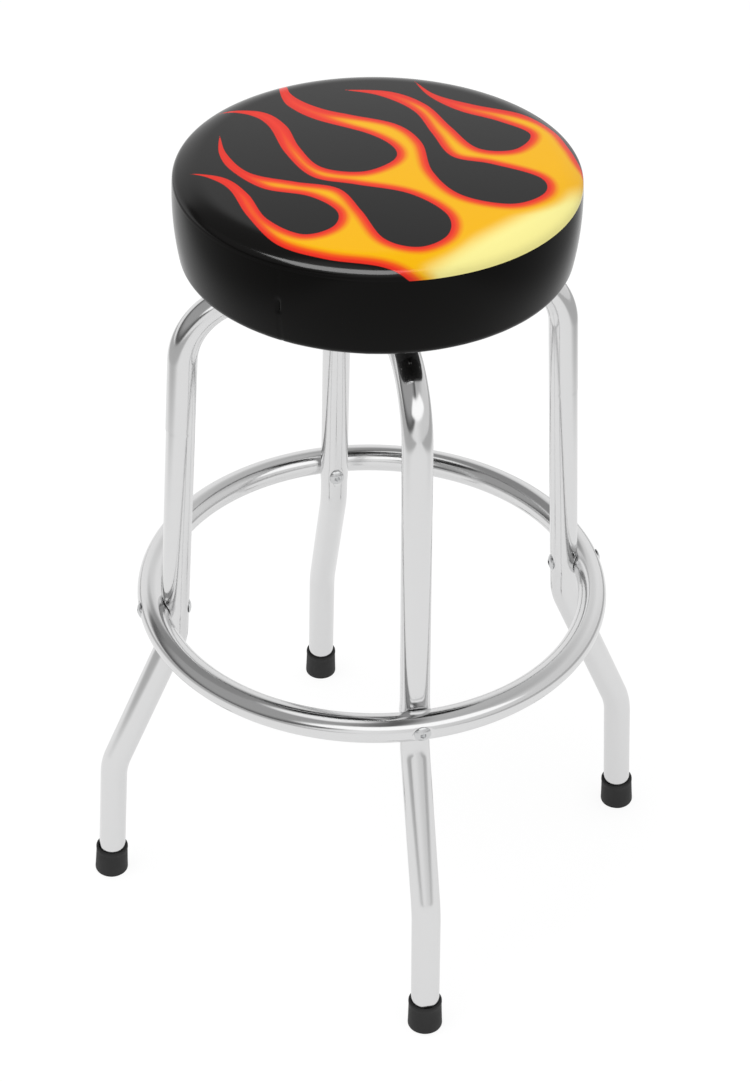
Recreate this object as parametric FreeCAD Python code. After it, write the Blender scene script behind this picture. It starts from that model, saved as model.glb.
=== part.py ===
import FreeCAD, Part
import math
import os

# Bar stool: a frame of two bent tube arches that cross under the seat, a foot ring nested in
# pressed saddles outside the legs, a caged ball swivel, and a round upholstered seat.
# Millimetres, +Z up. The origin is on the floor under the seat's centre, one leg is towards -Y.

Vector = FreeCAD.Vector
UP = Vector(0, 0, 1)

# Tube stock of the arches and of the ring
tube_diameter = 25.4
tube_wall = 1.2

# Centre line of a leg: radius from the seat's axis and height above the floor
foot_splay = 8.8
lower_knee_radius = 244.7
lower_knee_height = 130.7
upper_knee_radius = 182.6
upper_knee_height = 275.0
shoulder_radius = 161.1
arch_height = 625.5
lower_knee_bend = 73.0
upper_knee_bend = 65.0
shoulder_bend = 60.0

# The arches cross at one level: each is pressed to half its height there
lap_clearance = 0.2
lap_side_clearance = 1.0
lap_corner_round = 4.0
lap_slope = 45.0

# Foot ring, sunk into the saddle pressed in each leg
ring_above_knee = 34.2
saddle_depth = 6.1
saddle_clearance = 0.15
leg_count = 4
legs_per_arch = 2

# Ring bolts and the barrel nuts that they screw into from outside
bolt_thread_diameter = 6.0
bolt_hole_clearance = 0.3
thread_clearance = 0.05
button_head_diameter = 14.5
button_head_height = 4.2
button_head_rim = 1.0
button_socket_width = 4.0
button_socket_depth = 2.4
coin_depth = 0.4
coin_margin = 0.5
barrel_diameter = 9.0
barrel_length = 16.0
barrel_hole_clearance = 0.1
bolt_tip_gap = 3.5
barrel_bore_floor = 2.0
thread_chamfer = 0.6

# Rubber foot tips with a steel washer under the tube's end
tip_height = 29.0
tip_floor = 5.0
tip_bottom_diameter = 31.4
tip_top_diameter = 29.6
tip_fit = 0.05
tip_top_round = 1.6
tip_bottom_round = 2.4
tip_washer_thickness = 1.5
tip_washer_margin = 0.6

# Swivel: two stamped plates with a ball race between them
plate_side = 150.0
plate_thickness = 2.0
plate_corner_round = 12.0
plate_hole_inset = 21.0
race_radius = 52.0
race_gap = 4.0
race_clearance = 0.12
dish_rise = 5.0
dish_margin = 12.0
dish_ramp = 6.0
flange_margin = 1.0
ball_diameter = 6.35
ball_count = 8
cage_thickness = 1.0
cage_margin = 2.2
cage_pocket_clearance = 0.15

# Tubular rivet that holds the two plates together
rivet_diameter = 12.0
rivet_bore_diameter = 6.0
rivet_head_diameter = 21.0
rivet_head_height = 3.0
rivet_running_clearance = 0.1
thrust_washer_thickness = 1.0
thrust_washer_diameter = 22.0

# Screws from below through each arch into nuts welded on the lower plate
hex_head_width = 10.0
hex_head_height = 4.0
arch_washer_diameter = 12.5
arch_washer_thickness = 1.2
weld_nut_width = 10.0
weld_nut_height = 5.0
arch_bolt_reach = 1.4

# Seat board with tee nuts for the plate screws
board_thickness = 12.0
board_edge_foam = 8.0
screw_head_diameter = 11.0
screw_head_height = 3.6
screw_head_rim = 0.8
screw_tip_gap = 1.5
tee_flange_diameter = 18.0
tee_flange_thickness = 1.2
tee_barrel_diameter = 8.0
tee_barrel_length = 9.0
tee_clearance = 0.2

# Cushion, measured over the vinyl: corners are where crown, side and underside would meet
cushion_height = 87.7
crown_rise = 4.8
seat_radius = 165.0
side_taper = 3.4
side_bulge = 3.3
shoulder_round = 15.0
bottom_round = 8.2
vinyl_thickness = 1.1
foam_clearance = 0.3
seam_below_top = 16.8
turn_under_width = 37.0

# Staples that hold the turned-under vinyl on the board
staple_count = 16
staple_crown = 10.0
staple_wire = 0.9
staple_leg = 6.0
staple_inset = 8.0

# Places that follow from the sizes above
tube_radius = tube_diameter / 2
foot_radius = lower_knee_radius + foot_splay
arch_top = arch_height + tube_radius
arch_bottom = arch_height - tube_radius
ring_height = upper_knee_height + ring_above_knee
leg_lean = (upper_knee_radius - shoulder_radius) / (arch_height - upper_knee_height)
leg_radius_at_ring = upper_knee_radius - ring_above_knee * leg_lean
ring_radius = leg_radius_at_ring + tube_diameter - saddle_depth
ring_bolt_seat = ring_radius + tube_radius - coin_depth
ring_nut_seat = leg_radius_at_ring - tube_radius + coin_depth
thread_radius = bolt_thread_diameter / 2
bolt_hole_radius = thread_radius + bolt_hole_clearance
threaded_radius = thread_radius + thread_clearance
foot_tilt = -math.degrees(math.atan2(foot_splay, lower_knee_height))
tube_end = tip_floor + tip_washer_thickness

between_legs = 180.0 / leg_count
swivel_height = 2 * (plate_thickness + dish_rise) + race_gap
board_bottom = arch_top + swivel_height
board_top = board_bottom + board_thickness
race_level = arch_top + swivel_height / 2
lower_flange_top = arch_top + plate_thickness
upper_flange_bottom = board_bottom - plate_thickness
dish_radius = race_radius + dish_margin
plate_hole_radius = plate_side / math.sqrt(2) - plate_hole_inset
vinyl_bottom = board_bottom - vinyl_thickness
seat_height = vinyl_bottom + cushion_height
underside_radius = seat_radius - side_taper
board_radius = underside_radius - vinyl_thickness - board_edge_foam
turn_under_radius = underside_radius - turn_under_width
seam_height = seat_height - seam_below_top


def arc(start, middle, end):
    return Part.Arc(start, middle, end).toShape()


def line(start, end):
    return Part.LineSegment(start, end).toShape()


def quarter_round(level_end, upright_end):
    """Arc of a quarter circle, level where it starts and upright where it ends."""
    centre = Vector(level_end.x, 0, upright_end.z)
    swing = (level_end - centre) + (upright_end - centre)
    return arc(level_end, centre + swing * math.sqrt(0.5), upright_end)


def turned(edges):
    """A solid turned about Z from edges in the XZ plane that close on themselves."""
    return Part.Face(Part.Wire(edges)).revolve(Vector(0, 0, 0), UP, 360)


def turned_outline(points):
    """A solid turned about Z from straight-sided (radius, height) points."""
    corners = [Vector(radius, 0, height) for radius, height in points]
    return Part.Face(Part.makePolygon(corners + corners[:1])).revolve(Vector(0, 0, 0), UP, 360)


def cylinder(radius, bottom, top, x=0.0, y=0.0):
    return Part.makeCylinder(radius, top - bottom, Vector(x, y, bottom))


def hexagon(width, bottom, top):
    """A hexagonal prism about Z, width across its flats."""
    reach = width / math.sqrt(3)
    corners = []
    for side in range(7):
        angle = math.radians(60 * side)
        corners.append(Vector(reach * math.cos(angle), reach * math.sin(angle), bottom))
    return Part.Face(Part.makePolygon(corners)).extrude(Vector(0, 0, top - bottom))


def rotated(shape, degrees):
    """The shape turned about the stool's own axis."""
    copy = shape.copy()
    copy.rotate(Vector(0, 0, 0), UP, degrees)
    return copy


def turned_over(shape):
    """Takes a piece made along +Z and points it down."""
    copy = shape.copy()
    copy.rotate(Vector(0, 0, 0), Vector(1, 0, 0), 180)
    return copy


def moved(shape, x=0.0, y=0.0, z=0.0):
    copy = shape.copy()
    copy.translate(Vector(x, y, z))
    return copy


def around(shape, count, first=0.0):
    """A group of separate solids, evenly spaced about the stool's axis."""
    return Part.makeCompound([rotated(shape, first + 360 * i / count) for i in range(count)])


def pointing_out(shape, radius, height):
    """Takes a piece made along +Z and points it outwards along +X at a radius and height."""
    copy = shape.copy()
    turn = FreeCAD.Rotation(Vector(0, 1, 0), 90)
    copy.Placement = FreeCAD.Placement(Vector(radius, 0, height), turn)
    return copy


def pointing_in(shape, radius, height):
    """Takes a piece made along +Z and points it inwards along -X at a radius and height."""
    copy = shape.copy()
    turn = FreeCAD.Rotation(Vector(0, 1, 0), -90)
    copy.Placement = FreeCAD.Placement(Vector(radius, 0, height), turn)
    return copy


def on_leg_axis(shape):
    """Takes a piece made along +Z and stands it on the foot of the +X leg, along the leg."""
    copy = shape.copy()
    lean = FreeCAD.Rotation(Vector(0, 1, 0), foot_tilt)
    copy.Placement = FreeCAD.Placement(Vector(foot_radius, 0, 0), lean)
    return copy


def bent_path(points, bends):
    """Straight runs joined by tangent arcs, one bend radius for each inner point."""
    edges = []
    start = points[0]
    for i, bend in enumerate(bends, 1):
        before = (points[i] - points[i - 1]).normalize()
        after = (points[i + 1] - points[i]).normalize()
        half_turn = before.getAngle(after) / 2
        setback = bend * math.tan(half_turn)
        enter = points[i] - before * setback
        leave = points[i] + after * setback
        towards_centre = (after - before).normalize()
        middle = points[i] + towards_centre * (bend / math.cos(half_turn) - bend)
        edges.append(line(start, enter))
        edges.append(arc(enter, middle, leave))
        start = leave
    edges.append(line(start, points[-1]))
    return Part.Wire(edges)


def arch_bar(radius):
    """A round bar along the centre line of one arch, from foot to foot in the XZ plane."""
    foot = Vector(foot_radius, 0, 0)
    lower_knee = Vector(lower_knee_radius, 0, lower_knee_height)
    end = foot + (lower_knee - foot).normalize() * tube_end
    upper_knee = Vector(upper_knee_radius, 0, upper_knee_height)
    shoulder = Vector(shoulder_radius, 0, arch_height)
    right = [end, lower_knee, upper_knee, shoulder]
    left = [Vector(-p.x, 0, p.z) for p in reversed(right)]
    bends = [lower_knee_bend, upper_knee_bend, shoulder_bend]
    path = bent_path(right + left, bends + bends[::-1])
    section = Part.Wire(Part.Circle(end, lower_knee - foot, radius).toShape())
    return path.makePipeShell([section], True, False)


def ring_bar(radius):
    return moved(Part.makeTorus(ring_radius, radius), z=ring_height)


def lap_press(side, depth):
    """Tool with sloping ends that flattens an arch from below (side -1) or above (side +1).

    depth is how far the tool is grown: nothing for the tube's skin, the wall for its bore.
    """
    flat = -(lap_clearance / 2 + depth)
    reach = tube_radius + depth
    slope = math.radians(lap_slope)
    half_width = tube_radius + lap_side_clearance + depth * math.tan(slope / 2)
    half_mouth = half_width + (reach - flat) / math.tan(slope)
    outline = Part.makePolygon([
        Vector(-half_width, -reach, side * flat),
        Vector(half_width, -reach, side * flat),
        Vector(half_mouth, -reach, side * reach),
        Vector(-half_mouth, -reach, side * reach),
        Vector(-half_width, -reach, side * flat),
    ])
    tool = Part.Face(outline).extrude(Vector(0, 2 * reach, 0))
    across = [e for e in tool.Edges if e.BoundBox.YLength > reach]
    corners = [e for e in across if abs(e.BoundBox.ZMax) < reach / 2]
    tool = tool.makeFillet(lap_corner_round, corners)
    return moved(tool, z=arch_height)


def leg_arch(lap_side):
    """One arch of hollow tube with its saddles, half lap and bolt holes."""
    skin = arch_bar(tube_radius)
    bore = arch_bar(tube_radius - tube_wall)
    skin = skin.cut(ring_bar(tube_radius + saddle_clearance))
    bore = bore.cut(ring_bar(tube_radius + saddle_clearance + tube_wall))
    skin = skin.cut(lap_press(lap_side, 0.0))
    bore = bore.cut(lap_press(lap_side, tube_wall))
    arch = skin.cut(bore)
    coin_radius = button_head_diameter / 2 + coin_margin
    coin = pointing_in(cylinder(coin_radius, 0, tube_radius), ring_nut_seat, ring_height)
    barrel_hole_radius = barrel_diameter / 2 + barrel_hole_clearance
    barrel_hole = cylinder(barrel_hole_radius, -tube_radius, tube_radius)
    barrel_hole = pointing_out(barrel_hole, leg_radius_at_ring - tube_radius, ring_height)
    ring_bolt_hole = cylinder(bolt_hole_radius, 0, tube_diameter)
    ring_bolt_hole = pointing_out(ring_bolt_hole, leg_radius_at_ring, ring_height)
    plate_bolt_hole = cylinder(bolt_hole_radius, arch_bottom, arch_top, plate_hole_radius)
    for tool in (coin, barrel_hole, ring_bolt_hole, plate_bolt_hole):
        arch = arch.cut(around(tool, legs_per_arch))
    return arch


def foot_ring():
    """Welded tube ring, pressed flat and drilled where each bolt goes through."""
    ring = ring_bar(tube_radius).cut(ring_bar(tube_radius - tube_wall))
    press = Part.makeBox(tube_diameter, 2 * tube_diameter, tube_diameter)
    press = moved(press, ring_bolt_seat, -tube_diameter, ring_height - tube_radius)
    hole = cylinder(bolt_hole_radius, -tube_diameter, tube_diameter)
    hole = pointing_out(hole, ring_radius, ring_height)
    return ring.cut(around(press, leg_count)).cut(around(hole, leg_count))


def button_head(diameter, height, rim):
    """Domed head that sits on the XY plane: a short rim, then one arc over the top."""
    radius = diameter / 2
    rise = height - rim
    sphere = (radius ** 2 + rise ** 2) / (2 * rise)
    centre = height - sphere
    half_angle = math.asin(radius / sphere) / 2
    middle = Vector(sphere * math.sin(half_angle), 0, centre + sphere * math.cos(half_angle))
    return turned([
        line(Vector(0, 0, 0), Vector(radius, 0, 0)),
        line(Vector(radius, 0, 0), Vector(radius, 0, rim)),
        arc(Vector(radius, 0, rim), middle, Vector(0, 0, height)),
        line(Vector(0, 0, height), Vector(0, 0, 0)),
    ])


def shank(length):
    """Screw shank down from the XY plane, with a chamfered tip."""
    return turned_outline([
        (0, 0),
        (thread_radius, 0),
        (thread_radius, thread_chamfer - length),
        (thread_radius - thread_chamfer, -length),
        (0, -length),
    ])


def ring_bolt():
    """Button-head screw from outside the ring, through ring and saddle, into the barrel nut."""
    head = button_head(button_head_diameter, button_head_height, button_head_rim)
    socket_floor = button_head_height - button_socket_depth
    head = head.cut(hexagon(button_socket_width, socket_floor, button_head_height))
    length = ring_bolt_seat - ring_nut_seat - bolt_tip_gap
    return pointing_out(head.fuse(shank(length)), ring_bolt_seat, ring_height)


def ring_barrel_nut():
    """Barrel nut whose domed head bears on the leg's inner face."""
    head = button_head(button_head_diameter, button_head_height, button_head_rim)
    socket_floor = button_head_height - button_socket_depth
    head = head.cut(hexagon(button_socket_width, socket_floor, button_head_height))
    barrel = cylinder(barrel_diameter / 2, -barrel_length, 0)
    nut = head.fuse(barrel)
    nut = nut.cut(cylinder(threaded_radius, -barrel_length, -barrel_bore_floor))
    return pointing_in(nut, ring_nut_seat, ring_height)


def foot_tip():
    """Rubber tip along the leg, with a rounded sole that is flat where it stands on the floor."""
    bottom_radius = tip_bottom_diameter / 2
    top_radius = tip_top_diameter / 2
    sole_radius = bottom_radius - tip_bottom_round
    sole = -sole_radius * math.tan(math.radians(abs(foot_tilt)))
    body = turned([
        line(Vector(0, 0, sole), Vector(sole_radius, 0, sole)),
        quarter_round(Vector(sole_radius, 0, sole), Vector(bottom_radius, 0, sole + tip_bottom_round)),
        line(
            Vector(bottom_radius, 0, sole + tip_bottom_round),
            Vector(top_radius, 0, tip_height - tip_top_round),
        ),
        quarter_round(
            Vector(top_radius - tip_top_round, 0, tip_height),
            Vector(top_radius, 0, tip_height - tip_top_round),
        ),
        line(Vector(top_radius - tip_top_round, 0, tip_height), Vector(0, 0, tip_height)),
        line(Vector(0, 0, tip_height), Vector(0, 0, sole)),
    ])
    body = body.cut(cylinder(tube_radius + tip_fit, tip_floor, tip_height))
    below_floor = cylinder(tip_bottom_diameter, -tip_height, 0, foot_radius)
    return on_leg_axis(body).cut(below_floor)


def foot_tip_washer():
    return on_leg_axis(cylinder(tube_radius - tip_washer_margin, tip_floor, tube_end))


def race_plate(hole_radius):
    """Lower plate of the swivel, with its race level at z = 0.

    A dish is drawn up from a square flange, and an arc-shaped groove for the balls is pressed
    into it, which stands out as a flat bead on the back of the sheet.
    """
    face = -race_gap / 2
    back = face - plate_thickness
    flange_face = face - dish_rise
    flange_back = back - dish_rise
    groove = ball_diameter / 2 + race_clearance
    bead = groove + plate_thickness
    groove_half = math.sqrt(groove ** 2 - face ** 2)
    bead_half = math.sqrt(bead ** 2 - back ** 2)
    bead_flat = bead_half / 2
    back_shift = plate_thickness * math.tan(math.atan2(dish_rise, dish_ramp) / 2)
    ramp_end = dish_radius + dish_ramp
    edge = ramp_end + flange_margin

    def at(radius, height):
        return Vector(radius, 0, height)

    section = [
        line(at(hole_radius, face), at(race_radius - groove_half, face)),
        arc(
            at(race_radius - groove_half, face),
            at(race_radius, -groove),
            at(race_radius + groove_half, face),
        ),
        line(at(race_radius + groove_half, face), at(dish_radius, face)),
        line(at(dish_radius, face), at(ramp_end, flange_face)),
        line(at(ramp_end, flange_face), at(edge, flange_face)),
        line(at(edge, flange_face), at(edge, flange_back)),
        line(at(edge, flange_back), at(ramp_end - back_shift, flange_back)),
        line(at(ramp_end - back_shift, flange_back), at(dish_radius - back_shift, back)),
        line(at(dish_radius - back_shift, back), at(race_radius + bead_half, back)),
        line(at(race_radius + bead_half, back), at(race_radius + bead_flat, -bead)),
        line(at(race_radius + bead_flat, -bead), at(race_radius - bead_flat, -bead)),
        line(at(race_radius - bead_flat, -bead), at(race_radius - bead_half, back)),
        line(at(race_radius - bead_half, back), at(hole_radius, back)),
        line(at(hole_radius, back), at(hole_radius, face)),
    ]
    dish = turned(section)
    half = plate_side / 2
    flange = Part.makeBox(plate_side, plate_side, plate_thickness, at(-half, flange_back))
    flange = moved(flange, y=-half)
    upright = [e for e in flange.Edges if e.BoundBox.ZLength > plate_thickness / 2]
    flange = flange.makeFillet(plate_corner_round, upright)
    flange = flange.cut(cylinder(edge, flange_back, flange_face))
    plate = dish.fuse(flange).removeSplitter()
    hole = cylinder(bolt_hole_radius, flange_back, flange_face, plate_hole_radius)
    return plate.cut(around(hole, leg_count, between_legs))


def lower_plate():
    """Plate on the arches, with its corners over the tubes."""
    return moved(rotated(race_plate(rivet_diameter / 2), between_legs), z=race_level)


def upper_plate():
    """The same stamping turned over, with a running hole for the rivet."""
    plate = race_plate(rivet_diameter / 2 + rivet_running_clearance)
    return moved(turned_over(plate), z=race_level)


def swivel_rivet():
    """Tubular rivet: formed head under the lower plate, flat head over the thrust washer."""
    head_radius = rivet_head_diameter / 2
    body_radius = rivet_diameter / 2
    under = race_gap / 2 + plate_thickness
    over = under + rivet_running_clearance + thrust_washer_thickness
    outline = turned_outline([
        (rivet_bore_diameter / 2, -under - rivet_head_height),
        (body_radius, -under - rivet_head_height),
        (head_radius, -under - rivet_head_height / 2),
        (head_radius, -under),
        (body_radius, -under),
        (body_radius, over),
        (head_radius, over),
        (head_radius, over + rivet_head_height / 2),
        (body_radius, over + rivet_head_height),
        (rivet_bore_diameter / 2, over + rivet_head_height),
    ])
    return moved(outline, z=race_level)


def thrust_washer():
    bottom = race_level + race_gap / 2 + plate_thickness + rivet_running_clearance
    top = bottom + thrust_washer_thickness
    washer = cylinder(thrust_washer_diameter / 2, bottom, top)
    return washer.cut(cylinder(rivet_diameter / 2 + thread_clearance, bottom, top))


def swivel_ball():
    return Part.makeSphere(ball_diameter / 2, Vector(race_radius, 0, race_level))


def swivel_cage():
    """Flat ring between the dishes that spaces the balls."""
    bottom = race_level - cage_thickness / 2
    top = race_level + cage_thickness / 2
    half_width = ball_diameter / 2 + cage_margin
    cage = cylinder(race_radius + half_width, bottom, top)
    cage = cage.cut(cylinder(race_radius - half_width, bottom, top))
    pocket = cylinder(ball_diameter / 2 + cage_pocket_clearance, bottom, top, race_radius)
    return cage.cut(around(pocket, ball_count))


def arch_bolt():
    """Hexagon screw up through the arch into the nut welded on the lower plate."""
    seat = arch_bottom - arch_washer_thickness
    top = lower_flange_top + weld_nut_height + arch_bolt_reach
    head = hexagon(hex_head_width, seat - hex_head_height, seat)
    bolt = head.fuse(cylinder(thread_radius, seat, top))
    return moved(bolt, plate_hole_radius)


def arch_bolt_washer():
    bottom = arch_bottom - arch_washer_thickness
    washer = cylinder(arch_washer_diameter / 2, bottom, arch_bottom)
    washer = washer.cut(cylinder(bolt_hole_radius, bottom, arch_bottom))
    return moved(washer, plate_hole_radius)


def weld_nut():
    top = lower_flange_top + weld_nut_height
    nut = hexagon(weld_nut_width, lower_flange_top, top)
    nut = nut.cut(cylinder(threaded_radius, lower_flange_top, top))
    return moved(nut, plate_hole_radius)


def plate_screw():
    """Pan-head screw up through a corner of the upper plate into a tee nut."""
    head = button_head(screw_head_diameter, screw_head_height, screw_head_rim)
    length = plate_thickness + board_thickness - screw_tip_gap
    screw = turned_over(head.fuse(shank(length)))
    return moved(screw, plate_hole_radius, z=upper_flange_bottom)


def tee_nut():
    """Tee nut let into the board from above, its flange flush with the board."""
    flange_bottom = board_top - tee_flange_thickness
    barrel_bottom = board_top - tee_barrel_length
    nut = cylinder(tee_flange_diameter / 2, flange_bottom, board_top)
    nut = nut.fuse(cylinder(tee_barrel_diameter / 2, barrel_bottom, board_top))
    nut = nut.cut(cylinder(threaded_radius, barrel_bottom, board_top))
    return moved(nut, plate_hole_radius)


def seat_board():
    """Plywood disc, drilled for the screws and counterbored for the tee nuts."""
    board = cylinder(board_radius, board_bottom, board_top)
    flange_bottom = board_top - tee_flange_thickness
    hole = cylinder(tee_barrel_diameter / 2 + tee_clearance, board_bottom, board_top)
    recess = cylinder(tee_flange_diameter / 2 + tee_clearance, flange_bottom, board_top)
    seat_of_nut = moved(hole.fuse(recess), plate_hole_radius)
    return board.cut(around(seat_of_nut, leg_count, between_legs))


def cushion_form(inset):
    """The cushion's closed form, drawn in evenly by inset from the vinyl's outer face.

    The crown is one arc through the axis and the side is one bulging arc. Their corners are
    rounded, so that every inset has the same centres.
    """
    rim = seat_height - crown_rise
    middle = (rim + vinyl_bottom) / 2
    bulge_radius = (seat_radius + underside_radius) / 2 + side_bulge
    crown = Part.Circle(
        Vector(-seat_radius, 0, rim),
        Vector(0, 0, seat_height),
        Vector(seat_radius, 0, rim),
    )
    side = Part.Circle(
        Vector(seat_radius, 0, rim),
        Vector(bulge_radius, 0, middle),
        Vector(underside_radius, 0, vinyl_bottom),
    )
    crown.Radius -= inset
    side.Radius -= inset
    bottom = vinyl_bottom + inset
    crossings = [Vector(p.X, p.Y, p.Z) for p in crown.intersect(side)]
    shoulder = min(crossings, key=lambda p: p.distanceToPoint(Vector(seat_radius, 0, rim)))

    def side_at(height):
        out = math.sqrt(side.Radius ** 2 - (height - side.Center.z) ** 2)
        return Vector(side.Center.x + out, 0, height)

    def crown_at(radius):
        rise = math.sqrt(crown.Radius ** 2 - radius ** 2)
        return Vector(radius, 0, crown.Center.z + rise)

    underside = side_at(bottom)
    form = turned([
        line(Vector(0, 0, bottom), underside),
        arc(underside, side_at((bottom + shoulder.z) / 2), shoulder),
        arc(shoulder, crown_at(shoulder.x / 2), crown_at(0)),
        line(crown_at(0), Vector(0, 0, bottom)),
    ])

    def round_rim(solid, radius, above):
        rims = [e for e in solid.Edges if len(e.Vertexes) == 1]
        rims = [e for e in rims if (e.CenterOfMass.z > middle) == above]
        return solid.makeFillet(radius, rims)

    form = round_rim(form, shoulder_round - inset, True)
    return round_rim(form, bottom_round - inset, False)


def cover_shell():
    """Vinyl all round the cushion, open under the board inside the turned-under edge."""
    shell = cushion_form(0.0).cut(cushion_form(vinyl_thickness))
    opening = cylinder(turn_under_radius, vinyl_bottom - vinyl_thickness, board_bottom)
    return shell.cut(opening)


def above_seam():
    """A block that holds everything above the seam's level."""
    reach = 2 * seat_radius
    block = Part.makeBox(2 * reach, 2 * reach, seat_height)
    return moved(block, -reach, -reach, seam_height)


def seat_foam():
    """Foam pad with bevelled edges, glued on the board and drawn down round it by the cover."""
    inset = vinyl_thickness + foam_clearance
    top = seat_height - inset
    bottom = vinyl_bottom + inset
    rim = top - crown_rise
    waist_radius = (seat_radius + underside_radius) / 2 + side_bulge - inset
    foam = turned_outline([
        (0, bottom),
        (underside_radius - inset - bottom_round, bottom),
        (underside_radius - inset, bottom + bottom_round),
        (waist_radius, (rim + bottom) / 2),
        (seat_radius - inset, rim - shoulder_round),
        (seat_radius - inset - shoulder_round, rim),
        (0, top),
    ])
    pocket = cylinder(board_radius + foam_clearance, vinyl_bottom, board_top)
    return foam.cut(pocket)


def staple():
    """Staple through the turned-under vinyl into the board."""
    radius = turn_under_radius + staple_inset
    bottom = vinyl_bottom - staple_wire
    across = Vector(radius - staple_wire / 2, -staple_crown / 2, bottom)
    crown = Part.makeBox(staple_wire, staple_crown, staple_wire, across)
    leg_height = staple_wire + staple_leg
    first = Part.makeBox(staple_wire, staple_wire, leg_height, across)
    second = moved(first, y=staple_crown - staple_wire)
    return crown.fuse(first).fuse(second).removeSplitter()


def save(name, shape):
    shape.exportStep("parts/" + name + ".step")


os.makedirs("parts", exist_ok=True)

# Frame
save("leg_arch_left_right", leg_arch(-1))
save("leg_arch_front_back", rotated(leg_arch(+1), 90))
save("foot_ring", foot_ring())
save("ring_bolts", around(ring_bolt(), leg_count))
save("ring_barrel_nuts", around(ring_barrel_nut(), leg_count))
save("foot_tips", around(foot_tip(), leg_count))
save("foot_tip_washers", around(foot_tip_washer(), leg_count))
save("arch_bolts", around(arch_bolt(), leg_count))
save("arch_bolt_washers", around(arch_bolt_washer(), leg_count))

# Swivel
save("plate_weld_nuts", around(weld_nut(), leg_count))
save("swivel_lower_plate", lower_plate())
save("swivel_rivet", swivel_rivet())
save("swivel_thrust_washer", thrust_washer())
save("swivel_balls", around(swivel_ball(), ball_count))
save("swivel_cage", swivel_cage())
save("swivel_upper_plate", upper_plate())

# Seat
save("plate_screws", around(plate_screw(), leg_count, between_legs))
save("board_tee_nuts", around(tee_nut(), leg_count, between_legs))
save("seat_board", seat_board())
save("seat_foam", seat_foam())
save("cover_top_panel", cover_shell().common(above_seam()))
save("cover_side_band", cover_shell().cut(above_seam()))
save("cover_staples", around(staple(), staple_count))
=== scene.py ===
import math

import bpy
import numpy as np
from mathutils import Matrix, Vector


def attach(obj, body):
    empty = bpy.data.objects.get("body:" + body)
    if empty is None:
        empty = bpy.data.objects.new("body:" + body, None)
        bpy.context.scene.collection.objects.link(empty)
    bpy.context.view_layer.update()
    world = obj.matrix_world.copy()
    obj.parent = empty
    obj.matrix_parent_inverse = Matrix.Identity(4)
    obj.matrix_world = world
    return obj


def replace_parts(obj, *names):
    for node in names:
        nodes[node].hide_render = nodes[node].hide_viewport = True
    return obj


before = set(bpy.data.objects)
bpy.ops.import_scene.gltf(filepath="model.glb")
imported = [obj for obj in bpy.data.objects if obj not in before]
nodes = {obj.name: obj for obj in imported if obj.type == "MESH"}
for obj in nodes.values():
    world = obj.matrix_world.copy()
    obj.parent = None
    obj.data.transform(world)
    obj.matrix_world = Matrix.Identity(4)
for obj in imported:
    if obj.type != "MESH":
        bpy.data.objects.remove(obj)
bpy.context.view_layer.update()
MM = 0.001


# Leg arches. Two lengths of 1 inch steel tube, each bent from foot to foot, chromed all over.
# They cross under the seat, where each is pressed to half its height, and each leg has a
# saddle pressed into it for the foot ring.

TUBE_RADIUS = 12.7 * MM
ARCH_KNEES = [(253.5, 0.0), (244.7, 130.7), (182.6, 275.0), (161.1, 625.5)]
ARCH_BENDS = [73.0, 65.0, 60.0]
TUBE_END = 6.5 * MM
RING_HEIGHT = 309.2 * MM
RING_RADIUS = 199.8 * MM
RING_PLAY = 0.15 * MM
NUT_SEAT = 168.9 * MM
DISH_RADIUS = 8.2 * MM
DISH_SLOPE = 0.8
DISH_LIP = 0.3 * MM
PRESSES_END = 500.0 * MM
DENT_DEPTH = 5.2 * MM
DENT_FADE = 8.5 * MM
DENT_WIDENING = 0.05 / (6 * MM)
LAP_GAP = 0.1 * MM
LAP_HALF_WIDTH = 13.7 * MM
ROUND_SIDES = 72


class Wire:
    """What comes out of a node of a finish. It adds, subtracts, multiplies and divides."""

    def __init__(self, finish, socket):
        self.finish = finish
        self.socket = socket

    def maths(self, operation, *values):
        sockets = dict(enumerate(values))
        return self.finish.node("ShaderNodeMath", {"operation": operation}, sockets)

    def __add__(self, other):
        return self.maths("ADD", self, other)

    def __sub__(self, other):
        return self.maths("SUBTRACT", self, other)

    def __rsub__(self, other):
        return self.maths("SUBTRACT", other, self)

    def __mul__(self, other):
        return self.maths("MULTIPLY", self, other)

    def __truediv__(self, other):
        return self.maths("DIVIDE", self, other)

    __radd__ = __add__
    __rmul__ = __mul__


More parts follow.
